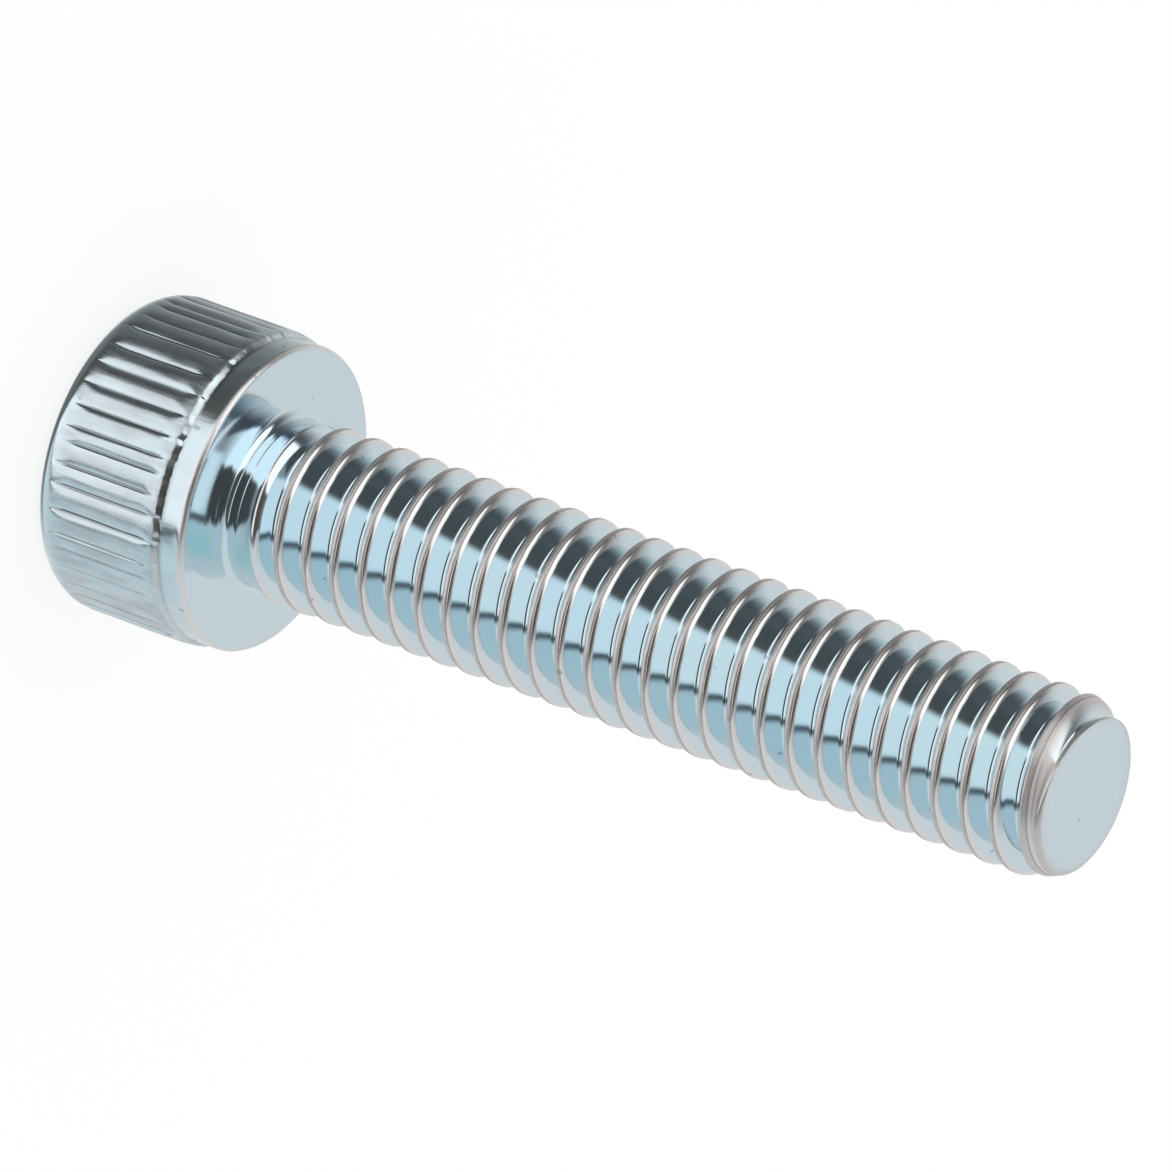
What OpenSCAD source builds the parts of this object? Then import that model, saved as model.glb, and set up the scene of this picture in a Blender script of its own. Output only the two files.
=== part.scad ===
// Hex socket cap screw, M4 x 0.7 x 20, fully threaded, in bright zinc plated steel.
// It stands on the flat top of its head, with the origin at the centre of that face
// and +Z running along the shank to the point. One forged blank with a rolled thread.

/* [Head] */
// diameter over the knurled side of the head, mm
head_d = 6.85; // [6.78:0.01:7.22]
// height of the head, from its flat top to the bearing face, mm
head_h = 3.82; // [3.82:0.01:4]
// radius of the rounding between the knurled side and the flat top, mm
head_edge_r = 0.63; // [0.2:0.01:0.9]
// diameter to which the knurled side draws in, where it meets the smooth band, mm
shoulder_d = 6.72; // [6.7:0.01:6.76]
// length of the stretch that draws in, mm
shoulder_l = 0.45; // [0.2:0.01:0.8]
// diameter of the smooth band between the knurl and the bearing face, mm
band_d = 6.62; // [6.56:0.01:6.66]
// width of that smooth band, mm
band_w = 0.52; // [0.2:0.01:0.8]
// diameter of the flat bearing face inside its rounded rim, mm
bearing_d = 6.44; // [6.3:0.01:6.5]

/* [Knurl] */
// number of straight grooves around the head
knurl_n = 45; // [30:1:60]
// depth of a groove, mm
knurl_depth = 0.09; // [0.03:0.01:0.15]
// share of each pitch that the groove takes
knurl_share = 0.36; // [0.2:0.01:0.8]

/* [Socket] */
// width of the hexagon across its flats, mm
socket_af = 3.02; // [3.02:0.01:3.08]
// depth of the hexagon's full walls, mm
socket_depth = 2; // [2:0.05:2.3]
// depth of the shallow cone that the punch leaves below the walls, mm
socket_cone_h = 0.36; // [0.1:0.01:0.4]
// diameter of the chamfer at the socket's mouth, mm
socket_mouth_d = 3.6; // [3.56:0.01:3.9]

/* [Thread] */
// nominal thread diameter, mm
thread_d = 4; // [4:0.1:4]
// pitch of the right-hand thread, mm
thread_pitch = 0.7; // [0.7:0.1:0.7]
// how far the crests lie under the nominal diameter, over the diameter, mm
thread_allowance = 0.08; // [0.02:0.01:0.15]
// length from the bearing face to the point, mm
shank_l = 20; // [6:1:25]
// angle between a flank and the plane across the axis, degrees
flank_angle = 30; // [28:0.5:32]
// distance from the bearing face at which the thread starts to rise, mm
runout_from = 0.3; // [0.2:0.05:0.8]
// stretch over which it then rises to its full depth, mm
runout_l = 0.95; // [0.5:0.05:1.3]
// flat steps that each turn of the thread is made of
thread_steps = 36; // [24:2:40]

/* [Neck and point] */
// diameter of the blank that the thread is rolled on, at the neck, mm
blank_d = 3.58; // [3.5:0.01:3.7]
// diameter of the slight ring where the hollow under the head ends, mm
neck_d = 3.66; // [3.6:0.01:4]
// radius of that hollow, mm
neck_r = 0.22; // [0.2:0.01:0.35]
// diameter of the flat end of the point, mm
tip_d = 3.4; // [3:0.01:3.6]
// slope of the point's chamfer, as rise over run: 1 is 45 degrees
tip_slope = 1; // [0.8:0.1:2]

/* [Hidden] */
crest_r = (thread_d - thread_allowance) / 2;
root_r = thread_d / 2 - 0.6134 * thread_pitch;
blank_r = blank_d / 2;
tip_r = tip_d / 2;
// the thread starts a little inside the head, so that the two fuse in one solid
thread_sink = 0.12;
thread_z0 = head_h - thread_sink;
thread_z1 = head_h + shank_l;
// height of a crest above the bearing face on the +X side, which sets the turn of the helix
crest_h = 0.19;
// half the width of a crest: a sharp thread cut back to an eighth of its pitch, and a little
// wider for lying under the nominal diameter
crest_half = thread_pitch / 16 + thread_allowance / 2 * tan(flank_angle);
// depth at which a straight flank gives way to the rounding of the root, as a share of the whole
foot_depth = 0.92;
foot_half = crest_half + foot_depth * (crest_r - root_r) * tan(flank_angle);
// one pitch of the rolled profile: place as a share of the pitch from the crest's middle,
// and depth as a share of the way from the crest down to the root
form_at = [
  -crest_half / thread_pitch,
  crest_half / thread_pitch,
  foot_half / thread_pitch,
  0.5,
  1 - foot_half / thread_pitch
];
form_depth = [0, 0, foot_depth, 1, foot_depth];
form_n = len(form_at);
thread_rows = form_n * (ceil((thread_z1 - thread_z0) / thread_pitch) + 2);
knurl_pitch = 360 / knurl_n;
knurl_h = head_h - band_w;
shoulder_steps = 4;
overlap = 0.1;
$fn = 96;

// Share of the thread's full height that the rolling has raised at height z.
function risen(z) =
  let (s = min(1, max(0, (z - head_h - runout_from) / runout_l)))
  s * s * (3 - 2 * s);

// Radius that the chamfer of the point leaves at height z.
function chamfer_limit(z) = tip_r + tip_slope * (thread_z1 - z);

// Radius of the profile, d of the way from crest to root, where the crest stands at height z.
function form_radius(d, z) =
  let (
    crest = blank_r + (crest_r - blank_r) * risen(z),
    root = blank_r + (root_r - blank_r) * risen(z)
  )
  min(crest + (root - crest) * d, chamfer_limit(z));

// Depth share at any place u along a pitch, between the points of form_at.
function depth_at(u) =
  let (v = u - floor(u - form_at[0]))
  lookup(v, concat(
    [for (i = [0:form_n - 1]) [form_at[i], form_depth[i]]],
    [[form_at[0] + 1, form_depth[0]]]
  ));

// Height of row i at column j of the helix: each column climbs a step of the pitch.
function row_z(i, j) =
  let (
    turn = floor(i / form_n),
    start = crest_h + head_h - thread_pitch * ceil((crest_h + thread_sink) / thread_pitch + 1)
  )
  start + thread_pitch * (turn + form_at[i % form_n] + j / thread_steps);

function clamped(z) = min(thread_z1, max(thread_z0, z));

// Point of row i at column j. A row past an end of the thread lies on that end's rim.
function row_point(i, j) =
  let (
    z = clamped(row_z(i, j)),
    crest_z = head_h + crest_h + thread_pitch * j / thread_steps,
    r = form_radius(depth_at((z - crest_z) / thread_pitch), z),
    a = 360 * j / thread_steps
  )
  [r * cos(a), r * sin(a), z];

// Index of row i at column j. Past the last column the helix has climbed one pitch.
function row_index(i, j) = j < thread_steps ? i * thread_steps + j : (i + form_n) * thread_steps;

// Does row i lie apart from the next one at column j, or do both lie on one rim?
function apart(i, j) = clamped(row_z(i, j)) < clamped(row_z(i + 1, j));

// Body of the thread as one helical skin, closed by a fan of faces at each end.
module thread() {
  points = [
    for (i = [0:thread_rows + form_n], j = [0:thread_steps - 1]) row_point(i, j)
  ];
  first = len(points);
  last_row = thread_rows;
  skin = [
    for (i = [0:last_row - 1], j = [0:thread_steps - 1])
      let (
        a = row_index(i, j),
        b = row_index(i, j + 1),
        c = row_index(i + 1, j + 1),
        d = row_index(i + 1, j)
      )
      each concat(
        apart(i, j + 1) ? [[a, c, b]] : [],
        apart(i, j) ? [[a, d, c]] : []
      )
  ];
  ends = [
    for (j = [0:thread_steps - 1])
      each [
        [first, row_index(0, j), row_index(0, j + 1)],
        [first + 1, row_index(last_row, j + 1), row_index(last_row, j)]
      ]
  ];
  polyhedron(
    points = concat(points, [[0, 0, thread_z0], [0, 0, thread_z1]]),
    faces = concat(skin, ends)
  );
}

// Half section of the knurled stretch of the head: a rounded top edge, a straight side, and
// below the smooth band a shoulder that draws in along a large arc.
module knurl_section() {
  drop = (head_d - shoulder_d) / 2;
  shoulder_r = (shoulder_l * shoulder_l + drop * drop) / (2 * drop);
  swing = asin(shoulder_l / shoulder_r);
  shoulder_z = knurl_h - shoulder_l;
  translate([head_d / 2 - head_edge_r, head_edge_r]) circle(r = head_edge_r);
  polygon(concat(
    [[0, knurl_h], [0, 0], [head_d / 2 - head_edge_r, 0], [head_d / 2 - head_edge_r, head_edge_r]],
    [[head_d / 2, head_edge_r]],
    [
      for (i = [0:shoulder_steps])
        let (a = swing * i / shoulder_steps)
        [head_d / 2 - shoulder_r * (1 - cos(a)), shoulder_z + shoulder_r * sin(a)]
    ]
  ));
}

// Outline that cuts the grooves: it passes outside the lands and dips at each groove.
// The +X side is the middle of a land.
module knurl_outline() {
  clear_r = head_d / 2 + 0.03;
  half = knurl_pitch * knurl_share / 2;
  polygon([
    for (i = [0:knurl_n - 1], p = [[-half, clear_r], [0, head_d / 2 - knurl_depth], [half, clear_r]])
      p[1] * [cos((i + 0.5) * knurl_pitch + p[0]), sin((i + 0.5) * knurl_pitch + p[0])]
  ]);
}

// Half section of the smooth band, its rounded rim, the bearing face and the hollow neck.
module band_section() {
  rim_r = (band_d - bearing_d) / 2;
  neck_top = head_h + neck_r;
  difference() {
    union() {
      polygon([
        [0, head_edge_r + 2 * overlap],
        [band_d / 2 - knurl_depth - overlap, knurl_h - 2 * overlap],
        [band_d / 2, knurl_h],
        [band_d / 2, head_h - rim_r],
        [0, head_h - rim_r]
      ]);
      translate([0, head_h - rim_r - overlap]) square([bearing_d / 2, rim_r + overlap]);
      translate([bearing_d / 2, head_h - rim_r]) circle(r = rim_r);
      translate([0, head_h - overlap]) square([neck_d / 2 + neck_r, neck_r + overlap]);
      polygon([
        [0, neck_top - overlap],
        [neck_d / 2, neck_top],
        [neck_d / 2 - 0.4, neck_top + 0.4],
        [0, neck_top + 0.4]
      ]);
    }
    translate([neck_d / 2 + neck_r, neck_top]) circle(r = neck_r);
  }
}

// Hexagonal socket with a chamfered mouth and the punch's shallow cone at the bottom.
// The chamfer is a 45 degree cone that ends just inside the flats, so it leaves a scallop
// over each flat.
module socket() {
  corner_r = socket_af / 2 / cos(30);
  cone_r = socket_af / 2 - 0.02;
  mouth_h = socket_mouth_d / 2 - cone_r;
  translate([0, 0, -overlap]) cylinder(h = socket_depth + overlap, r = corner_r, $fn = 6);
  translate([0, 0, -overlap])
    cylinder(h = mouth_h + overlap, r1 = socket_mouth_d / 2 + overlap, r2 = cone_r);
  rotate_extrude() polygon([
    [0, socket_depth - overlap],
    [cone_r, socket_depth - overlap],
    [cone_r, socket_depth],
    [0, socket_depth + socket_cone_h]
  ]);
}

module screw() {
  color("#b9c6ca")
  difference() {
    union() {
      intersection() {
        rotate_extrude() knurl_section();
        linear_extrude(height = head_h) knurl_outline();
      }
      rotate_extrude() band_section();
      thread();
    }
    socket();
  }
}

screw();
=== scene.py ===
# %% [markdown]
# # A hex socket cap screw in bright zinc
# The real screw is one piece of steel, forged cold. A knurl is rolled on its head, a thread is
# rolled on its shank, and a thin layer of zinc with a pale blue passivate covers it all. This
# lesson dresses the CAD screw: it works out one closed skin with numpy, gives it a plated
# finish, and lights it like a small product on a studio table.

import bpy
import numpy as np
from mathutils import Matrix


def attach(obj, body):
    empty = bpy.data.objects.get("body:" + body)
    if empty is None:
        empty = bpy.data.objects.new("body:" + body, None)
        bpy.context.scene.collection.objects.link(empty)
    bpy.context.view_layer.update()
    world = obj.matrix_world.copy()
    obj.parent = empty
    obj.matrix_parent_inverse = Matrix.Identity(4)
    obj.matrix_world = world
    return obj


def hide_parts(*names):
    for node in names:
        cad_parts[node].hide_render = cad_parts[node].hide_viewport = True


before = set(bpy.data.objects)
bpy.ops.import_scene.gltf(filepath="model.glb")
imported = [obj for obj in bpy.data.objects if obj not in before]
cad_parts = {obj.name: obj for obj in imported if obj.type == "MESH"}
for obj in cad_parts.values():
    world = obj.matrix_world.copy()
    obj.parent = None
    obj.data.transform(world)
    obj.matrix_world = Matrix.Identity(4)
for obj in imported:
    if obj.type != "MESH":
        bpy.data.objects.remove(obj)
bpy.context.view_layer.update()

# %% [markdown]
# ## The sizes
# A screw is described by few numbers: the thread and its pitch, the head's height and width,
# the socket, and the length. All are in millimetres here, as a maker writes them, and the mesh
# turns them to metres at the end. Heights are measured from the flat top of the head, on
# which the screw stands, and `h` is the height above the bearing face under the head.

# %% Sizes
MM = 0.001
HEAD_H = 3.82
HEAD_R = 6.85 / 2
TOP_EDGE_R = 0.63
BAND_R = 6.62 / 2
BEARING_R = 6.44 / 2
RIM_H = 0.15
HEAD_SHIFT = np.array([-0.063, 0.070])
SHANK_L = 19.96

PITCH = 0.7
CREST_R = 3.92 / 2
ROOT_R = 1.54
ROOT_ROUNDING = 0.070
BLANK_R = 1.78
FIRST_CREST = 0.19
NECK_RING_R = 1.802
NECK_FILLET = 0.22
DISC_R = 1.609
DISC_ROUNDING = 0.14
POINT_SLOPE = 0.38

SOCKET_AF = 3.02
SOCKET_DEPTH = 2.0
SOCKET_CONE = 0.36
SOCKET_MOUTH_R = 1.80
SOCKET_CORNER_R = 1.735

KNURL_N = 45
KNURL_DEPTH = 0.090
KNURL_END = 3.10
print("screw: M4 x", PITCH, "x", SHANK_L, "- overall", HEAD_H + SHANK_L, "mm")

# %% [markdown]
# ## Small helpers
# A rolled and plated surface is never perfectly even. The dents and waves are sums of a few
# sine waves with fixed phases, which are smooth, cheap on whole arrays, and the same on each
# run. They close on themselves around the screw, because their counts per turn are whole.

# %% Helpers
def smooth(x):
    """0 below 0, 1 above 1, and an S curve between: x * x * (3 - 2 x)."""
    x = np.clip(x, 0.0, 1.0)
    return x * x * (3.0 - 2.0 * x)


def lerp(a, b, t):
    """a where t is 0, b where t is 1: a + (b - a) t."""
    return a + (b - a) * t


def waves(seed, turn, along, turns, lengths, count=7):
    """Smooth noise from about -1 to 1: a sum of sines of k * turn + 2 pi * along / length + phase,
    where k is a whole count per turn up to `turns` and length comes from the range `lengths`."""
    draw = np.random.default_rng(seed)
    total = 0.0
    for _ in range(count):
        k = draw.integers(-turns, turns + 1)
        length = draw.uniform(*lengths)
        phase = draw.uniform(0, 2 * np.pi)
        total = total + np.sin(k * turn + 2 * np.pi * along / length + phase)
    return total / np.sqrt(count / 2.0) * 0.5


def soft_min(a, b, width):
    """The smaller of a and b, with the corner between them rounded over about `width`."""
    gap = np.clip(0.5 + 0.5 * (b - a) / width, 0.0, 1.0)
    return lerp(b, a, gap) - width * gap * (1.0 - gap)


print("a soft corner of 1 and 1 lies at", soft_min(1.0, 1.0, 0.1))

# %% [markdown]
# ## The rolled thread
# Rolling presses the blank's surface into a groove and lets the steel rise beside it. So the
# root is smooth and rounded, the flanks are burnished at 30 degrees, and the crest is where
# two rising lips meet: a narrow flat with a fine seam down its middle. The form is one
# function of the place along a pitch. A list of section points could do as well, but a
# function can be blended with the bare blank where the thread starts.

# %% Thread form
FLANK = np.tan(np.radians(30.0))
ROOT_HALF = ROOT_ROUNDING * np.cos(np.radians(30.0))
ROOT_RISE = ROOT_ROUNDING * (1.0 - np.sin(np.radians(30.0)))
CREST_HALF = PITCH / 2 - ROOT_HALF - (CREST_R - ROOT_R - ROOT_RISE) * FLANK
point_angle = np.arctan(POINT_SLOPE)
POINT_R = DISC_R + DISC_ROUNDING * np.cos(point_angle)
POINT_H = SHANK_L - DISC_ROUNDING * (1 - np.sin(point_angle))
print("crest flat:", round(2 * CREST_HALF, 3), "mm wide, cone of the point to", POINT_H.round(3))


def thread_form(u):
    """Radius of the full thread at u mm along the axis from a crest's middle: CREST_R on the
    flat, then straight flanks that drop 1 / tan(30), then a circle of ROOT_ROUNDING. The lip
    on the side of the point is pushed over by 0.008 mm and well rounded."""
    u = (u + PITCH / 2) % PITCH - PITCH / 2
    leaning = 0.008 * (1.0 - smooth((u - 0.11) / 0.10)) * (u > 0)
    flank = CREST_R - (np.abs(u) - CREST_HALF - leaning) / FLANK
    to_mid = PITCH / 2 - np.abs(u)
    root = ROOT_R + ROOT_ROUNDING - np.sqrt(
        np.maximum(ROOT_ROUNDING**2 - to_mid**2, ROOT_ROUNDING**2 - ROOT_HALF**2))
    top = soft_min(np.full_like(u, CREST_R), flank, np.where(u > 0, 0.070, 0.035))
    return np.where(to_mid < ROOT_HALF, root, top)


def crest_lips(u, turn, h):
    """Height in mm to add on a crest: a fine seam beside the lip that wanders a little, and
    a faint unevenness along the whole crest."""
    v = (u + PITCH / 2) % PITCH - PITCH / 2
    seam = 0.028 + 0.006 * waves(3, turn, h, 9, (0.7, 4.0))
    depth = 0.016 + 0.007 * waves(4, turn, h, 12, (0.7, 3.0))
    groove = -depth * np.exp(-(((v - seam) / 0.012) ** 2))
    fade = 1.0 - smooth((np.abs(v - 0.02) - CREST_HALF) / 0.05)
    rough = 0.0025 * waves(5, turn, h, 36, (0.7, 0.9), 12)
    return (groove + rough) * fade


def risen(h):
    """Share of its full height that the thread has at h: it rises over the first turns."""
    return smooth((h - 0.52) / 0.62)


def shank_radius(u, turn, h):
    """Radius at height h where the nearest crest is u away: the bare blank widens a little as
    a cone, and is blended into the thread as it rises. A low start is a soft wave, and the
    full thread has its sharp form."""
    rise = risen(h)
    blank = BLANK_R + 0.10 * smooth((h - 0.30) / 0.50)
    wave = np.cos(2 * np.pi * u / PITCH)
    soft = BLANK_R + np.where(wave > 0, wave * (CREST_R - BLANK_R), wave * (BLANK_R - ROOT_R))
    sharp = thread_form(u) + crest_lips(u, turn, h) * smooth((rise - 0.80) / 0.2)
    form = lerp(soft, sharp, smooth((rise - 0.50) / 0.4))
    radius = lerp(blank, form, rise)
    point = POINT_R + POINT_SLOPE * (POINT_H - h) + 0.006 * waves(6, turn, h, 9, (2.0, 5.0))
    return soft_min(radius, point, 0.025)


# %% [markdown]
# ## The shank's skin
# The skin follows the helix: each row of points stays at one place of the form and climbs a
# pitch in a turn, so the crest's fine edges lie along rows and never cross them. After a turn
# row i has become row i + ROWS, which joins the skin to itself. Rows that would pass below
# the neck or above the point are gathered on its rim.

# %% Shank grid
SHANK_COLUMNS = 81
SKIN_FROM = 0.35
crest_places = [-0.089, -0.075, -0.058, -0.030, 0.0, 0.016, 0.026, 0.035, 0.044, 0.054, 0.066,
                0.078, 0.090, 0.102, 0.115, 0.132]
root_shares = np.array([-1.12, -1.0, -0.74, -0.48, -0.23, 0.0, 0.23, 0.48, 0.74, 1.0, 1.12])
form_places = np.concatenate([crest_places, PITCH / 2 + ROOT_HALF * root_shares, [0.50, 0.56]])
ROWS = len(form_places)


def helix_grid():
    """Heights and places of the helical rows: row i at column j lies at
    form place + pitch * (turn + j / columns), and u is its place from the crest's middle."""
    turns = int(np.ceil(SHANK_L / PITCH)) + 2
    row = np.arange(-ROWS, turns * ROWS)
    place = form_places[row % ROWS] + PITCH * (row // ROWS)
    column = np.arange(SHANK_COLUMNS)
    turn = 2 * np.pi * column / SHANK_COLUMNS
    climb = FIRST_CREST + PITCH * column / SHANK_COLUMNS
    h = place[:, None] + climb[None, :]
    return h, np.broadcast_to(turn, h.shape), np.broadcast_to(climb, h.shape)


row_h, row_turn, row_climb = helix_grid()
print("shank rows:", row_h.shape[0], "of", SHANK_COLUMNS, "points,", ROWS, "to a pitch")

# %% [markdown]
# ## Building one skin from bands
# Every stretch of the screw is a grid of rows around the axis. A little store keeps the points
# and faces, and joins each new ring to the one before it. Where the knurled head needs nine
# columns to a groove and the shank needs fewer, a fan of small faces on the flat bearing face
# steps from one count to the other, where it can't be seen.

# %% Skin store
# Two masks carry painted light: a painted shade for grooves, seams and the shoulder's foot, and a tint
# of the neck that is partly painted reflection.
MASK_NAMES = ("edge", "knurl", "crevice", "across", "along", "film")


class Skin:
    """Points in mm, triangles, and one finish value per point for each named mask."""

    def __init__(self):
        self.points, self.faces, self.masks = [], [], {name: [] for name in MASK_NAMES}
        self.count = 0

    def add(self, points, **masks):
        """Stores points of any grid shape and returns their numbers in the same shape."""
        flat = points.reshape(-1, 3)
        self.points.append(flat)
        for name, values in self.masks.items():
            given = np.broadcast_to(masks.get(name, 0.0), points.shape[:-1])
            values.append(given.reshape(-1))
        first = self.count
        self.count += len(flat)
        return np.arange(first, self.count).reshape(points.shape[:-1])

    def triangles(self, a, b, c):
        """Stores triangles from three arrays of point numbers, without those that are flat."""
        tri = np.stack([np.ravel(a), np.ravel(b), np.ravel(c)], axis=1)
        whole = (tri[:, 0] != tri[:, 1]) & (tri[:, 1] != tri[:, 2]) & (tri[:, 2] != tri[:, 0])
        self.faces.append(tri[whole])

    def strip(self, low, high):
        """Joins rings of as many points, one pair or a stack of pairs: each square between
        them is cut along its diagonal."""
        low_next, high_next = np.roll(low, -1, axis=-1), np.roll(high, -1, axis=-1)
        self.triangles(low, low_next, high_next)
        self.triangles(low, high_next, high)

    def rings(self, numbers):
        """Joins each ring of a grid to the next."""
        self.strip(numbers[:-1], numbers[1:])

    def step_down(self, fine, coarse):
        """Joins a ring to one with a whole factor fewer points: each coarse point takes the
        fine edges around it, and each coarse edge takes the fine point at its middle."""
        factor = len(fine) // len(coarse)
        owner = coarse[((np.arange(len(fine)) + factor // 2) // factor) % len(coarse)]
        owner_next = np.roll(owner, -1)
        fine_next = np.roll(fine, -1)
        self.triangles(fine, fine_next, owner)
        self.triangles(fine_next, owner_next, owner)

    def pole(self, ring, point, rising):
        """Closes a ring with a fan to one point; `rising` says which way the skin runs."""
        centre = np.broadcast_to(self.add(np.array([point])), ring.shape)
        after = np.roll(ring, -1)
        if rising:
            self.triangles(ring, after, centre)
        else:
            self.triangles(centre, after, ring)


def around(radius, turn, z):
    """Points on circles: radius * cos(turn), radius * sin(turn), z."""
    radius, turn, z = np.broadcast_arrays(radius, turn, z)
    return np.stack([radius * np.cos(turn), radius * np.sin(turn), z], axis=-1)


skin = Skin()
print("skin store with the masks", ", ".join(MASK_NAMES))

# %% [markdown]
# ## The socket
# The socket is punched: six flat walls, a shallow cone where the punch's nose pressed into the
# floor, and a chamfered mouth that guides the key. It could be cut with a boolean, which
# leaves long thin faces. Here its section is carried around instead, with the hexagon's
# radius in place of a circle's, so its corners lie on columns of the skin.

# %% Head columns and the socket
knurl_pitch = 2 * np.pi / KNURL_N
column_shares = np.array([0, 0.16, 0.30, 0.40, 0.455, 0.5, 0.545, 0.62, 0.78])
even_turn = ((np.arange(KNURL_N)[:, None] + column_shares[None, :]) * knurl_pitch).ravel()


def hexagon(turn):
    """Distance from the axis to a hexagon: half its width over the cosine of the angle to the
    nearest flat's middle, with corners a little rounded."""
    from_flat = turn % (np.pi / 3) - np.pi / 6
    return soft_min(SOCKET_AF / 2 / np.cos(from_flat), np.full_like(turn, SOCKET_CORNER_R), 0.03)


def socket_section():
    """Radii and heights of the socket's rows, one line a row: cone, floor, walls, chamfer."""
    flat = hexagon(even_turn)
    cone_r = SOCKET_AF / 2 - 0.02
    chamfer_z = SOCKET_MOUTH_R - flat
    line = np.ones_like(flat)
    rows = [(r * line, SOCKET_DEPTH + SOCKET_CONE * (1 - r / cone_r) * line)
            for r in (0.4, 0.9, 1.35, cone_r - 0.02)]
    rows += [(cone_r * line, SOCKET_DEPTH * line), (flat - 0.012, (SOCKET_DEPTH - 0.002) * line)]
    rows += [(flat, z * line) for z in (SOCKET_DEPTH - 0.015, SOCKET_DEPTH - 0.05, 1.2, 0.5)]
    rows += [(flat, chamfer_z + 0.03), (flat, chamfer_z + 0.008)]
    rows += [(flat + s, chamfer_z - s) for s in (0.006, 0.02)]
    rows += [((SOCKET_MOUTH_R - s) * line, s * line) for s in (0.025, 0.006)]
    return np.array([r for r, z in rows]), np.array([z for r, z in rows])


socket_r, socket_z = socket_section()
print("socket rows:", len(socket_r), "corner radius:", round(socket_r[8].max(), 3), "mm")

# %% [markdown]
# ## The knurled head
# Straight grooves are rolled into the head's side so that fingers can turn it. The walls of a
# groove roll off softly from the lands, a narrow line is pressed deeper between them, and the
# groove starts and ends in a point, which gives the lens shapes that catch the light. No two
# are alike: they sway sideways, and the depth and the ends change from one to the next. Those
# that face the camera have their own values, from `NEAR_GROOVE` on, because the photograph
# shows them. Where the knurl stops, the side turns inward over a ragged shoulder to the band.

# %% Knurl
NEAR_GROOVE = 26
NEAR_SWAY = [-2, -2, -2, 0, 0.5, 1, 1.5, 1.5, -1, -1, -1.5, 0, 1.5]
NEAR_DEPTH = [0.60, 0.60, 0.75, 1.00, 1.15, 1.15, 1.0, 0.90, 0.80, 0.90, 1.05, 1.05, 0.60, 0.40,
              0.30, 0.25, 0.30]
luck = np.random.default_rng(7)
groove_sway = luck.uniform(-0.9, 0.9, KNURL_N)
groove_sway[NEAR_GROOVE:NEAR_GROOVE + len(NEAR_SWAY)] = NEAR_SWAY
groove_depth = luck.uniform(0.45, 1.05, KNURL_N)
groove_depth[NEAR_GROOVE:NEAR_GROOVE + len(NEAR_DEPTH)] = NEAR_DEPTH
groove_roll = luck.uniform(0.8, 1.15, KNURL_N)
groove_from = luck.uniform(0.36, 0.52, KNURL_N)
groove_to = luck.uniform(3.00, 3.16, KNURL_N)
groove_middles = (np.arange(KNURL_N) + 0.5) * knurl_pitch
sway = np.interp(even_turn, groove_middles, np.radians(groove_sway), period=2 * np.pi)
head_turn = even_turn + sway

groove = np.floor(even_turn / knurl_pitch + 1e-6).astype(int)
beside_groove = even_turn / knurl_pitch - groove - 0.5


def knurl_drop(z):
    """Depth of the knurl below the lands in each column at z. From a groove's middle the walls
    roll off as (1 - distance / reach) to a power, with a narrow line cut deeper between them.
    Both scale with `length`, which is 0 at the groove's ends and 1 along it."""
    u = beside_groove
    length = (smooth((z - groove_from[groove]) / 0.50)
              * (1 - smooth((z - groove_to[groove] + 0.42) / 0.42))
              * (1 - 0.16 * np.exp(-(((z - 2.25) / 0.35) ** 2))))
    reach = 0.5 * (0.30 + 0.70 * length) * (1 + 0.10 * waves(12, head_turn, z, 23, (1.2, 4.0)))
    away = np.clip(1 - np.abs(u) / reach, 0, 1) ** np.where(u <= 0, 1.5, 2.2)
    soft = np.where(u <= 0, 0.80 * groove_roll[groove], 0.50)
    vee = np.clip(1 - np.abs(u) / 0.05, 0, 1)
    depth = KNURL_DEPTH * groove_depth[groove] * length
    swell = 0.0034 * waves(13, head_turn, z, 44, (0.7, 3.0), 14)
    return depth * (soft * away + (1 - soft) * vee) + swell * smooth((z - 0.3) / 0.4)


def head_side():
    """Rows from the flat top, over the rounded edge and along the knurl to its end, where the
    side draws in along a large arc."""
    bend = np.radians([0, 12, 24, 35, 45, 54, 62, 69, 76, 83, 90])
    arc_r = HEAD_R - TOP_EDGE_R + TOP_EDGE_R * np.sin(bend)
    arc_z = TOP_EDGE_R * (1 - np.cos(bend))
    side_z = np.array([0.70, 0.78, 0.86, 0.95, 1.06, 1.2, 1.4, 1.6, 1.8, 2.0, 2.2, 2.4, 2.56,
                       2.68, 2.78, 2.87, 2.95, 3.02])
    side_r = HEAD_R - np.maximum(side_z - 2.75, 0) ** 2 / 3.6
    r = np.concatenate([arc_r, side_r])[:, None]
    z = np.concatenate([arc_z, side_z])[:, None]
    drop = knurl_drop(z)
    outward = np.concatenate([np.sin(bend), np.ones_like(side_z)])[:, None]
    upward = np.concatenate([np.cos(bend), np.zeros_like(side_z)])[:, None]
    return r - drop * outward, z + drop * upward


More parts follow.
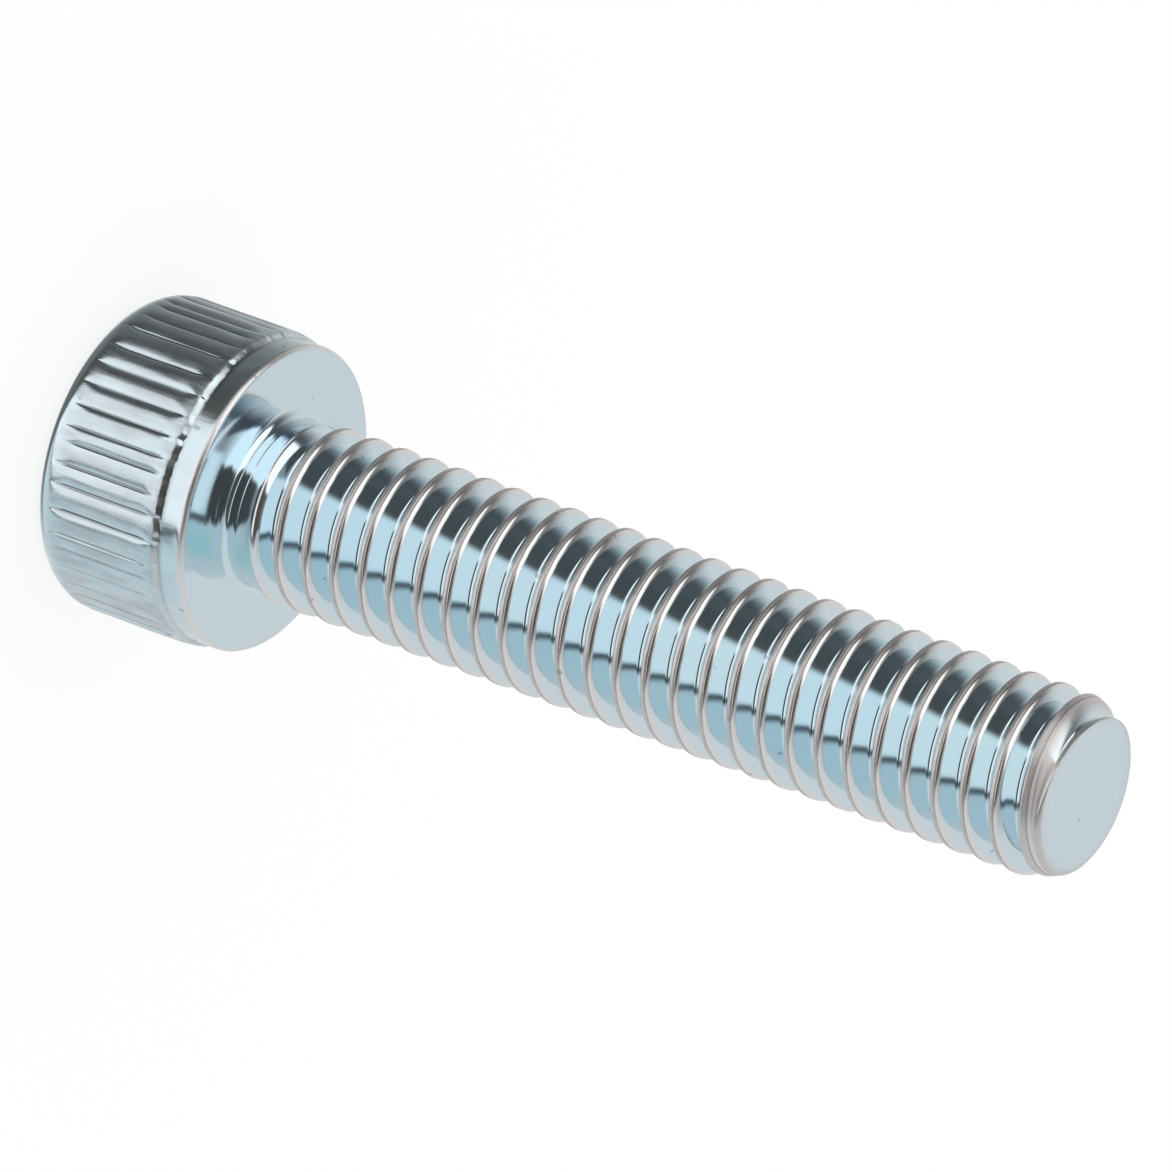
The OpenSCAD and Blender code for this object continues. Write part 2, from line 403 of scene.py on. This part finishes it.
def shoulder_rows():
    """Rows over the ragged shoulder down to the smooth band. Its edge wanders along z, a
    little with the grooves and a little at random, and the wander fades towards the band."""
    turn = head_turn
    ragged = 0.028 * waves(21, turn, 0 * turn, 120, (1.0, 2.0), 22)
    ragged = ragged - 0.014 * np.exp(-((beside_groove / 0.09) ** 2)) * groove_depth[groove]
    dent = 0.007 * waves(22, turn, 0 * turn, 80, (1.0, 2.0), 16)
    foot = 0.006 * waves(23, turn, 0 * turn, 60, (1.0, 2.0), 12)
    land = HEAD_R - 0.030 - knurl_drop(np.full_like(turn, 3.02))
    steps = [(0.00, 0.045, 1.0), (0.06, 0.070, 1.0), (0.18, 0.092, 1.0), (0.38, 0.120, 1.0),
             (0.62, 0.152, 0.9), (0.84, 0.182, 0.7), (0.96, 0.208, 0.5), (1.00, 0.236, 0.3)]
    rows = [(lerp(land, BAND_R + foot * wander, down) + 4 * dent * down * (1 - down),
             KNURL_END - 0.055 + rise + ragged * wander) for down, rise, wander in steps]
    return np.array([r for r, z in rows]), np.array([z for r, z in rows])


side_r, side_z = head_side()
shoulder_r, shoulder_z = shoulder_rows()
print("head side:", side_r.shape, "widest:", round(2 * side_r.max(), 3), "mm")

# %% [markdown]
# ## The bearing face and the neck
# The smooth band turns over a rounded rim onto the flat face that bears on the work. A hollow
# fillet leads from that face into the neck, because a sharp corner would crack there.

# %% Rim, bearing face and neck
def rim_rows():
    """The smooth band, a rounding from it to the bearing face that is taller than it is wide,
    then the face inwards to 2.5 mm, where the columns are even again."""
    rim = BAND_R - BEARING_R
    bend = np.radians(np.linspace(0, 90, 9))
    turn = head_turn[None, :]
    dent = 0.005 * waves(31, turn, 0 * turn, 30, (1.0, 2.0), 10)
    r = (BEARING_R + rim * np.cos(bend))[:, None] + dent * np.cos(bend)[:, None]
    z = (HEAD_H - RIM_H + RIM_H * np.sin(bend))[:, None] + 0 * turn
    band_z = np.array([3.35, 3.42, 3.53, HEAD_H - RIM_H - 0.02])[:, None] + 0 * turn
    band_r = BAND_R + 0.0025 * waves(32, turn, band_z, 40, (0.8, 2.0), 12)
    face_r = np.array([BEARING_R - 0.03, BEARING_R - 0.12, 2.85, 2.5])[:, None] + 0 * turn
    face_z = np.full_like(face_r, HEAD_H)
    return np.concatenate([band_r, r, face_r]), np.concatenate([band_z, z, face_z])


def neck_rows(turn):
    """The face's inner stretch, the fillet's quarter circle up to a slight ring, and the drop
    from that ring to the blank."""
    bend = np.radians(np.linspace(0, 84, 10))
    centre_r = NECK_RING_R + NECK_FILLET
    r = np.concatenate([[2.3, centre_r + 0.05], centre_r - NECK_FILLET * np.sin(bend)])
    h = np.concatenate([[0.0, 0.0], NECK_FILLET * (1 - np.cos(bend))])
    r = np.append(r, [NECK_RING_R - 0.002, NECK_RING_R - 0.014, BLANK_R + 0.010, BLANK_R + 0.001])
    h = np.append(h, [0.265, 0.295, 0.320, 0.335])
    return r[:, None] + 0 * turn, HEAD_H + h[:, None] + 0 * turn


rim_r, rim_z = rim_rows()
print("rim and face rows:", len(rim_r))

# %% [markdown]
# ## Putting the skin together
# The stretches are stored one after another, from the punch's cone in the socket round to the flat end
# of the shank. Along the way each point gets its masks: `edge` where the plating is thin and dull on
# crests, lips and rims, `knurl` on the satin lands, and a painted shade at the bottom of the grooves
# and at the foot of the shoulder.

# %% Assemble the skin
def knurl_masks(z):
    """Satin share of the head's side and the painted shade at the bottom of the grooves, a near-black
    line.
    """
    on = smooth((z - 0.25) / 0.4) + 0 * beside_groove
    line = np.exp(-((beside_groove / 0.045) ** 2)) * np.minimum(groove_depth[groove], 1.0)
    wall = np.exp(-((beside_groove / 0.24) ** 2)) * np.minimum(groove_depth[groove], 1.0)
    return on * (1 - 0.7 * wall), smooth((z - 0.45) / 0.4) * smooth((3.08 - z) / 0.3) * line


def bell(turn, middle, width):
    """A smooth hump around the axis, 1 at `middle` degrees and gone `width` degrees away."""
    off = (np.degrees(turn) - middle + 180) % 360 - 180
    return 1 - smooth(np.abs(off) / width)


def film_share(turn, z, r):
    """Tint of the neck's hollow and of the face beside it: up to 1 where it is violet and down to -1
    where it is teal. It stands for a thicker passivate and is in part painted reflection, set at the
    turns where the neck mirrors violet and teal bands."""
    hollow = smooth((z - HEAD_H - 0.22) / 0.15) * (1 - smooth((z - HEAD_H - 0.60) / 0.5))
    face = (1 - smooth((z - HEAD_H) / 0.03)) * smooth((2.75 - r) / 0.3)
    violet = np.maximum(bell(turn, 219, 14), bell(turn, 60, 30))
    teal = np.maximum(bell(turn, 316, 20), 0.8 * bell(turn, 140, 30))
    return hollow * (0.7 * violet - 0.60 * teal) - 0.14 * face * teal


head_rings = skin.add(around(socket_r, even_turn, socket_z))
skin.pole(head_rings[0], (0.0, 0.0, SOCKET_DEPTH + SOCKET_CONE), rising=False)
skin.rings(head_rings)

top_r = np.array([SOCKET_MOUTH_R + 0.006, SOCKET_MOUTH_R + 0.03, 2.2, HEAD_R - TOP_EDGE_R - 0.03])
top_turn = even_turn + sway * np.array([0, 0, 0.4, 1])[:, None]
top_rings = skin.add(around(top_r[:, None], top_turn, 0.0))
skin.strip(head_rings[-1], top_rings[0])
skin.rings(top_rings)

# The bottom line of each groove gets painted shade.
satin, groove_shade = knurl_masks(np.where(side_z > 0.2, side_z, 0.0))
side_rings = skin.add(around(side_r, head_turn, side_z), knurl=satin, crevice=groove_shade)
skin.strip(top_rings[-1], side_rings[0])
skin.rings(side_rings)

satin_left = np.array([1.0, 0.8, 0.4, 0.2, 0.1, 0.1, 0.1, 0.3])[:, None]
# Painted shadow along the foot of the shoulder step, darkest in its lower rows.
foot_shade = np.array([0.0, 0.0, 0.0, 0.1, 0.2, 0.4, 0.7, 0.3])[:, None]
foot_shade = foot_shade * np.clip(0.5 + 0.5 * waves(25, head_turn, 0 * head_turn, 9, (1, 2)), 0.1, 1)
step_worn = np.array([0.2, 0.4, 0.5, 0.5, 0.5, 0.4, 0.3, 0.0])[:, None]
step_worn = step_worn * np.clip(0.6 + 0.8 * waves(26, head_turn, 0 * head_turn, 70, (1, 2), 16), 0, 1.4)
shoulder_rings = skin.add(around(shoulder_r, head_turn, shoulder_z), knurl=satin_left,
                          crevice=foot_shade, edge=step_worn)
skin.strip(side_rings[-1], shoulder_rings[0])
skin.rings(shoulder_rings)

rim_edge = np.zeros(len(rim_r))
rim_edge[4:13] = 0.45 * np.sin(np.radians(np.linspace(10, 170, 9)))
# The rim's across values lay the painted highlight of the lip on its rounding.
rim_highlight_across = np.zeros(len(rim_r))
rim_highlight_across[4:13] = 0.08 * np.sin(np.radians(np.linspace(10, 170, 9)))
rim_satin = np.zeros(len(rim_r))
rim_satin[:4] = 0.3
rim_even = np.concatenate([np.ones(len(rim_r) - 2), [0.5, 0.0]])[:, None]
rim_rings = skin.add(around(rim_r, even_turn + sway * rim_even, rim_z), edge=rim_edge[:, None],
                     knurl=rim_satin[:, None], across=rim_highlight_across[:, None])
skin.strip(shoulder_rings[-1], rim_rings[0])
skin.rings(rim_rings)

shank_turn = 2 * np.pi * np.arange(SHANK_COLUMNS) / SHANK_COLUMNS
neck_r, neck_z = neck_rows(shank_turn)
start_u = SKIN_FROM - FIRST_CREST - PITCH * shank_turn / (2 * np.pi)
start_r = shank_radius(start_u, shank_turn, SKIN_FROM)
neck_r = np.vstack([neck_r, start_r])
neck_z = np.vstack([neck_z, np.full(SHANK_COLUMNS, HEAD_H + SKIN_FROM)])
# The neck's violet and teal tint: thicker passivate, partly painted reflection.
neck_film = film_share(shank_turn, neck_z, neck_r)
neck_rings = skin.add(around(neck_r, shank_turn, neck_z), film=neck_film)
skin.step_down(rim_rings[-1], neck_rings[0])
skin.rings(neck_rings)
print("points up to the neck:", skin.count)

# %% [markdown]
# ## The flat end
# The cone of the point cuts the last crests down. It turns over an edge that is rounded by
# wear onto a flat disc, whose middle is one point.

# %% Flat end
SKIN_TO = POINT_H


def from_crest(h, turn):
    """Place in mm from the middle of the first crest, at height h on the helix."""
    return h - FIRST_CREST - PITCH * turn / (2 * np.pi)


end_r = shank_radius(from_crest(SKIN_TO, shank_turn), shank_turn, SKIN_TO)
end_bend = np.linspace(point_angle, np.pi / 2, 8)[1:, None]
end_dent = 0.006 * waves(7, shank_turn, end_bend, 20, (1.0, 2.0), 9)
round_r = DISC_R + DISC_ROUNDING * np.cos(end_bend) + end_dent
round_r = soft_min(round_r, np.broadcast_to(end_r, round_r.shape), 0.03)
flat_r = round_r[-1]
disc_r = np.vstack([end_r, round_r, flat_r - 0.05, flat_r * 0.8, flat_r * 0.4])
round_h = np.vstack([[[0.0]], DISC_ROUNDING * (np.sin(end_bend) - np.sin(point_angle))])
disc_z = HEAD_H + SKIN_TO + np.vstack([round_h, np.full((3, 1), SHANK_L - SKIN_TO)]) + 0 * end_r
disc_edge = np.array([1.0, 1.0, 0.95, 0.9, 0.85, 0.75, 0.6, 0.45, 0.15, 0.0, 0.0])
disc_rings = skin.add(around(disc_r, shank_turn, disc_z), edge=disc_edge[:, None])
skin.rings(disc_rings)
skin.pole(disc_rings[-1], (0.0, 0.0, HEAD_H + SHANK_L), rising=True)
print("disc:", round(2 * flat_r.mean(), 3), "mm across, at", HEAD_H + SHANK_L, "mm")

# %% [markdown]
# ## The thread's skin
# The helical rows are laid on between the neck and the flat end. Their masks follow the form: worn on
# the crest's flat and on the cone of the point, and a painted shade in the seam beside the lip.
# `across` and `along` say where a point lies on the crest, so that marks can run with it; `across` also
# sets where the painted highlight of the lip lies.

# %% Thread skin
def end_share(u, turn, h):
    """Where the cone of the point has taken over from the thread, from 0 to 1."""
    cone = POINT_R + POINT_SLOPE * (POINT_H - h)
    return 1 - smooth((cone - shank_radius(u, turn, h)) / 0.03)


def crest_share(h):
    """How far the crest has taken on its own finish at height h, as the thread rises."""
    return smooth(risen(h) * 2.5 - 1.3)


def crest_mask(v, h):
    """1 on a crest's flat, falling off over its lip, and 0 on the flanks, at v mm from the
    middle of the nearest crest."""
    on = smooth((v + 0.086) / 0.012) * (1 - smooth((v - 0.030) / 0.035))
    return on * crest_share(h)


row_u = row_h - row_climb
row_v = (row_u + PITCH / 2) % PITCH - PITCH / 2
row_r = shank_radius(row_u, row_turn, row_h)
inside = (row_h > SKIN_FROM + 0.004) & (row_h < SKIN_TO - 0.004)
below = row_h <= SKIN_FROM + 0.004
thread_edge = np.maximum(crest_mask(row_v, row_h), end_share(row_u, row_turn, row_h))
inner = around(row_r, row_turn, HEAD_H + row_h)[inside]
numbers = np.where(below, neck_rings[-1][None, :], disc_rings[0][None, :])
crest_way = 2 * np.pi * CREST_R * (row_h - row_v) / PITCH
# Painted shade in the seam beside the crest's lip.
seam_shade = 0.60 * np.exp(-(((row_v - 0.034) / 0.014) ** 2)) * crest_share(row_h)
# The same tint of thicker passivate and painted reflection on the first turns.
thread_film = film_share(row_turn, HEAD_H + row_h, row_r)
numbers[inside] = skin.add(inner, edge=thread_edge[inside], across=row_v[inside],
                           along=crest_way[inside], crevice=seam_shade[inside],
                           film=thread_film[inside])

after = np.vstack([numbers[ROWS:], np.broadcast_to(disc_rings[0], (ROWS, SHANK_COLUMNS))])
beside = np.hstack([numbers[:, 1:], after[:, :1]])
skin.triangles(numbers[:-1], beside[:-1], beside[1:])
skin.triangles(numbers[:-1], beside[1:], numbers[1:])

points = np.concatenate(skin.points)
faces = np.concatenate(skin.faces)
points[:, :2] += HEAD_SHIFT * (1 - smooth((points[:, 2:] - HEAD_H) / SKIN_FROM))
print("screw skin:", len(points), "points,", len(faces), "triangles")

# %% [markdown]
# ## From arrays to a Blender mesh
# `foreach_set` copies whole arrays into the mesh at once. The masks go in as point attributes,
# which a material can read by name.

# %% Mesh object
def mesh_object(name, points, faces, masks):
    """A smooth-shaded object at the origin from points in metres, triangles and point masks."""
    mesh = bpy.data.meshes.new(name)
    mesh.vertices.add(len(points))
    mesh.vertices.foreach_set("co", points.astype(np.float32).ravel())
    mesh.loops.add(3 * len(faces))
    mesh.loops.foreach_set("vertex_index", faces.astype(np.int32).ravel())
    mesh.polygons.add(len(faces))
    mesh.polygons.foreach_set("loop_start", np.arange(0, 3 * len(faces), 3, dtype=np.int32))
    mesh.update(calc_edges=True)
    mesh.validate()
    mesh.polygons.foreach_set("use_smooth", np.ones(len(faces), bool))
    for mask, values in masks.items():
        attribute = mesh.attributes.new(mask, "FLOAT", "POINT")
        attribute.data.foreach_set("value", np.concatenate(values).astype(np.float32))
    thing = bpy.data.objects.new(name, mesh)
    bpy.context.scene.collection.objects.link(thing)
    return thing


screw = mesh_object("socket_screw", points * MM, faces, skin.masks)
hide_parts("screw")
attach(screw, "root")
print("mesh:", len(screw.data.polygons), "faces")

# %% [markdown]
# ## Shader maths as expressions
# A material is a formula over the surface. One small class wraps a socket, so that the formula
# reads like Python, and one method makes any other node.

# %% Shader helper
class Wire:
    """An output socket that can be used in expressions; each operator adds a Math node."""

    def __init__(self, tree, socket):
        self.tree, self.socket = tree, socket

    def node(self, kind, settings=(), picked=0, **inputs):
        """Makes a node of a type, sets its properties first and then its sockets, by name or
        index as in i0, and returns the picked output, if it has any."""
        made = self.tree.nodes.new(kind)
        for key, value in dict(settings).items():
            setattr(made, key, value)
        for key, value in inputs.items():
            place = int(key[1:]) if key[0] == "i" and key[1:].isdigit() else key.replace("_", " ")
            target = made.inputs[place]
            if isinstance(value, Wire):
                self.tree.links.new(value.socket, target)
            else:
                target.default_value = value
        return Wire(self.tree, made.outputs[picked]) if made.outputs else None

    def math(self, operation, *values):
        """A Math node over the values given, each a wire or a number."""
        given = {f"i{n}": value for n, value in enumerate(values)}
        return self.node("ShaderNodeMath", {"operation": operation}, **given)

    def __add__(self, other):
        return self.math("ADD", self, other)

    def __sub__(self, other):
        return self.math("SUBTRACT", self, other)

    def __rsub__(self, other):
        return self.math("SUBTRACT", other, self)

    def __mul__(self, other):
        return self.math("MULTIPLY", self, other)

    __radd__ = __add__
    __rmul__ = __mul__

    def __truediv__(self, other):
        return self.math("DIVIDE", self, other)

    def step(self, low, high):
        """0 below low, 1 above high, an S curve between: a Map Range node set to smoothstep."""
        return self.node("ShaderNodeMapRange", {"interpolation_type": "SMOOTHSTEP"},
                         Value=self, From_Min=low, From_Max=high)

    def mix(self, a, b):
        """The colour a where this is 0 and b where it is 1."""
        return self.node("ShaderNodeMix", {"data_type": "RGBA"}, picked=2, i0=self, i6=a, i7=b)


def shader_tree(owner):
    """An empty node tree on a material or world, and a Wire to start expressions from."""
    owner.use_nodes = True
    owner.node_tree.nodes.clear()
    return owner.node_tree, Wire(owner.node_tree, None)


print("shader helper:", Wire.__name__)

# %% [markdown]
# ## Bright zinc with a pale blue passivate
# Zinc plating is a mirror with a soft haze. The passivate on it is a clear film, thinner than the
# light's waves, so it tints the metal pale blue and drifts to green or violet where it is thicker, as
# in the hollow of the neck; there the violet and teal are also painted reflection, placed at the turns
# where the neck mirrors such bands. On sharp edges the layer is thin and rubbed, and the colour there
# is a warm grey. A paler warm band on the crest's lip and on the rim is a painted highlight, and a near
# black in the knurl's grooves, in the crest's seam and at the foot of the shoulder is painted shade.
# The knurl is satin, because the rolling dies drag along it.

# %% Zinc material
def bright_zinc():
    """A metal whose colour, roughness and fine bumps follow the masks and the place."""
    material = bpy.data.materials.new("blue_passivated_zinc")
    tree, make = shader_tree(material)
    place = make.node("ShaderNodeTexCoord", picked=3)

    def noise(scale, detail, stretch=(1, 1, 1), rough=0.5):
        """Noise of `scale` grains to a millimetre, stretched along the axes."""
        spread = make.node("ShaderNodeMapping", Vector=place,
                           Scale=[1000 * scale * s for s in stretch])
        return make.node("ShaderNodeTexNoise", Vector=spread, Scale=1.0, Detail=detail,
                         Roughness=rough)

    def mask(name):
        """One of the skin's own values."""
        return make.node("ShaderNodeAttribute", {"attribute_name": name}, picked=2)

    edge, knurl, crevice, across, along, film = [mask(name) for name in MASK_NAMES]
    helix = make.node("ShaderNodeCombineXYZ", X=across * 55.0, Y=along * 2.2)
    drag = make.node("ShaderNodeTexNoise", Vector=helix, Scale=1.0, Detail=3.0, Roughness=0.6)
    # Violet and teal: a thicker passivate, partly painted reflection of bands that the neck mirrors.
    teal = make.math("MAXIMUM", 0.0, film * -1)
    violet = make.math("MAXIMUM", 0.0, film)
    plain = noise(0.22, 2.0).step(0.38, 0.62).mix((0.665, 0.788, 0.850, 1), (0.680, 0.795, 0.842, 1))
    colour = violet.mix(teal.mix(plain, (0.38, 0.74, 0.72, 1)), (0.52, 0.60, 0.92, 1))
    grain = noise(9.0, 4.0)
    worn = edge * (0.45 + 0.7 * grain + 0.5 * drag)
    worn = make.math("MINIMUM", 1.0, worn)
    speckle = drag * 1.1 + grain * 0.7 - 0.40
    colour = worn.mix(colour, speckle.mix((0.46, 0.435, 0.42, 1), (0.76, 0.725, 0.715, 1)))
    # Painted highlight: a paler warm band along the crest's lip and on the rim.
    lip_highlight = across.step(0.035, 0.060) * (1 - across.step(0.100, 0.140))
    colour = (lip_highlight * 0.85).mix(colour, (0.80, 0.765, 0.755, 1))
    streaks = noise(14.0, 3.0, (1, 1, 0.10))
    stain = (knurl * noise(1.6, 3.0, (1, 1, 0.6)).step(0.52, 0.80)) * 0.40
    mottled = noise(2.4, 4.0, (1, 1, 0.35)).step(0.36, 0.64)
    colour = (knurl * (0.30 + 0.60 * mottled)).mix(colour, (0.50, 0.55, 0.59, 1))
    colour = stain.mix(colour, (0.50, 0.44, 0.40, 1))
    # Painted shade: near black in the knurl's grooves, the crest's seam and the shoulder's foot.
    colour = (crevice * 0.9).mix(colour, (0.16, 0.15, 0.145, 1))
    specks = noise(5.0, 0.0).step(0.84, 0.87) * 0.5
    colour = specks.mix(colour, (0.22, 0.23, 0.24, 1))

    rough = (0.085 + 0.03 * noise(1.2, 3.0) + knurl * (0.07 + 0.26 * streaks) + worn * 0.28
             + lip_highlight * 0.10)
    relief = (noise(0.9, 2.0) * 0.0010 + knurl * streaks * 0.0046
              + edge * (noise(11.0, 3.0) * 0.0022 + drag * 0.0030) + noise(6.0, 2.0) * 0.00012)
    bump = make.node("ShaderNodeBump", Height=relief, Strength=1.0, Distance=MM)
    shader = make.node("ShaderNodeBsdfPrincipled", Base_Color=colour, Metallic=1 - worn * 0.12,
                       Roughness=rough, Normal=bump)
    make.node("ShaderNodeOutputMaterial", Surface=shader)
    return material


screw.data.materials.append(bright_zinc())
print("finish:", screw.data.materials[0].name, len(screw.data.materials[0].node_tree.nodes), "nodes")

# %% [markdown]
# ## The table
# A pale table under the screw is white to the camera and to the metal, and keeps a faint soft
# shadow: a white diffuse surface mixed with a plain white glow.

# %% Table
TABLE_WIDTH = 1.2


def table_top(width):
    """A flat square at the height that the screw stands on."""
    half = width / 2
    corners = [(-half, -half, 0), (half, -half, 0), (half, half, 0), (-half, half, 0)]
    mesh = bpy.data.meshes.new("table")
    mesh.from_pydata(corners, [], [(0, 1, 2, 3)])
    thing = bpy.data.objects.new("table", mesh)
    bpy.context.scene.collection.objects.link(thing)
    return thing


def pale_table():
    """Matt white, with a white glow over it: most of the way to the camera, so that a faint
    shadow stays, and the whole way in mirrors and behind clear things."""
    material = bpy.data.materials.new("pale_table")
    _, make = shader_tree(material)
    matt = make.node("ShaderNodeBsdfDiffuse", Color=(0.9, 0.9, 0.9, 1))
    glow = make.node("ShaderNodeEmission", Color=(1, 1, 1, 1), Strength=1.025)
    seen = make.node("ShaderNodeLightPath", picked=0) * 0.80
    mirrored = make.node("ShaderNodeLightPath", picked=3)
    passed = make.node("ShaderNodeLightPath", picked=6)
    share = make.math("MAXIMUM", seen, make.math("MAXIMUM", mirrored, passed))
    surface = make.node("ShaderNodeMixShader", i0=share, i1=matt, i2=glow)
    make.node("ShaderNodeOutputMaterial", Surface=surface)
    return material


table = table_top(TABLE_WIDTH)
table.data.materials.append(pale_table())
print("table:", table.name, "of", TABLE_WIDTH, "m, finish", table.data.materials[0].name)

# %% [markdown]
# ## The camera
# The screw stands on its head, but the photograph shows it lying, point to the right. The
# camera is rolled instead of the screw. Its place follows from four measures: the angle
# between the shank and the line of sight, the lean of the shank in the picture, the pixel at
# the middle of the bearing face, and the distance, which sets how strongly the screw tapers.

# %% Camera
PHOTO_PX = 1172
FOCAL_PX = 14624
DISTANCE = 301.447
SIGHT_ANGLE = np.radians(60.95)
LEAN = np.radians(19.70)
BEARING_PX = np.array([272.84, 502.06])

shank_seen = np.array([np.sin(SIGHT_ANGLE) * np.cos(LEAN), np.sin(SIGHT_ANGLE) * np.sin(LEAN),
                       -np.cos(SIGHT_ANGLE)])
line_of_sight = np.array([0.0, 0.0, 1.0])
far_side = line_of_sight - (line_of_sight @ shank_seen) * shank_seen
far_side /= np.linalg.norm(far_side)
right_side = np.cross(far_side, shank_seen)
view_axes = np.stack([right_side, far_side, shank_seen])
bearing_seen = np.append((BEARING_PX - PHOTO_PX / 2) * DISTANCE / FOCAL_PX, DISTANCE)
camera_place = np.array([0.0, 0.0, HEAD_H]) - view_axes @ bearing_seen

camera_data = bpy.data.cameras.new("camera")
camera_data.sensor_width = 36.0
camera_data.lens = FOCAL_PX / PHOTO_PX * camera_data.sensor_width
camera_data.clip_start, camera_data.clip_end = 0.01, 10.0
camera = bpy.data.objects.new("camera", camera_data)
bpy.context.scene.collection.objects.link(camera)
turned = np.eye(4)
turned[:3, :3] = view_axes * np.array([1.0, -1.0, -1.0])
turned[:3, 3] = camera_place * MM
camera.matrix_world = Matrix(turned.tolist())
bpy.context.scene.camera = camera
print("camera at", camera_place.round(1), "mm, lens", round(camera_data.lens, 1), "mm")

# %% [markdown]
# ## The studio
# A mirror shows the room, so the room is part of the finish. Product studios surround bright
# metal with a pale sweep, soft boxes and black cards, whose reflections draw the form. They
# could be built as lit panels, which would stand in the way of other views. Here the world
# holds them as soft-edged stretches of direction, each with its level. To the camera the
# world is plain white.

# %% Studio directions
world = bpy.data.worlds.new("studio")
bpy.context.scene.world = world
world_tree, sky = shader_tree(world)
heading = sky.node("ShaderNodeTexCoord", picked=0)
east, north, up = [sky.node("ShaderNodeSeparateXYZ", picked=n, Vector=heading) for n in range(3)]
DEGREES = 180 / np.pi
azimuth = sky.math("ARCTAN2", north * -1, east * -1) * DEGREES + 180
height = sky.math("ARCSINE", up) * DEGREES


def between(angle, low, high, soft_low, soft_high):
    """1 where an angle lies between two edges, which may be wires, and 0 outside, with each
    edge spread over its softness in degrees."""
    rise = ((angle - low) / soft_low + 0.5).step(0.0, 1.0)
    fall = ((angle - high) / soft_high + 0.5).step(0.0, 1.0)
    return rise * (1 - fall)


def toward(level, value, share):
    """A level moved to a value by a share from 0 to 1."""
    return level + (value - level) * share


print("studio directions:", len(world_tree.nodes), "nodes")

# %% [markdown]
# ## The studio's cards
# The sweep is pale and darkens overhead. A soft box stands at the left, dark cards stand where
# the photograph has black bands along the thread, and a bright card lies in front. Dark
# directions are a little warm, and the low ones on the right a little cool.

# %% Studio light
sweep = 0.78 - 0.36 * height.step(48, 80)
card_edge = sky.math("MINIMUM", 232, 232 - 1.07 * (height + 25))
card_edge = sky.math("MAXIMUM", card_edge, 163)
card_start = 160 - 0.85 * sky.math("ABSOLUTE", height - 5)
card_softness = 48 + 1.1 * sky.math("MAXIMUM", 0.0, -5 - height)
soft_box = between(azimuth, card_edge, 246, 12, 8) * height.step(-30, -18)
soft_level = 0.42 + 0.95 * height.step(-8, 24)
camera_side = between(azimuth, 246, 325, 8, 10) * height.step(-4, 10) * (1 - height.step(65, 80))
front_card = between(azimuth, 235, 314, 10, 8) * (1 - height.step(-4, 10))
card_line = between(azimuth, 315, 324, 5, 9) * (1 - height.step(2, 12))
dark_card = between(azimuth, card_start, card_edge, card_softness, 10)
far_floor = between(azimuth, 40, 140, 40, 40) * (1 - height.step(-66, -46))
level = toward(sweep, soft_level, soft_box)
level = toward(level, 0.07, camera_side)
level = toward(level, 1.14, front_card)
level = toward(level, 0.10, card_line)
card_low = 0.11 * (1 - azimuth.step(160, 205)) * (1 - height.step(-28, -12))
level = toward(level, 0.10 + 0.16 * height.step(30, 60) + card_low, dark_card)
level = toward(level, 0.16, far_floor)
warmth = between(azimuth, 215, 310, 20, 10) * (1 - level.step(0.1, 0.4))
tone = warmth.mix((1, 1, 1, 1), (1.10, 0.99, 0.90, 1))
cool = (azimuth.step(310, 316) + 1 - azimuth.step(8, 30)) * (1 - height.step(-5, 30))
tone = cool.mix(tone, (0.89, 1.0, 1.04, 1))
room = sky.node("ShaderNodeBackground", Color=tone, Strength=level)
plain_white = sky.node("ShaderNodeBackground", Color=(1, 1, 1, 1), Strength=1.0)
to_metal = sky.node("ShaderNodeLightPath", picked=3)
light = sky.node("ShaderNodeMixShader", i0=to_metal, i1=plain_white, i2=room)
sky.node("ShaderNodeOutputWorld", Surface=light)
table.visible_glossy = False
print("studio:", len(world_tree.nodes), "nodes")

# %% [markdown]
# ## Finish
# The colours go to the picture as they are.

# %% Finish
bpy.context.scene.view_settings.view_transform = "Standard"
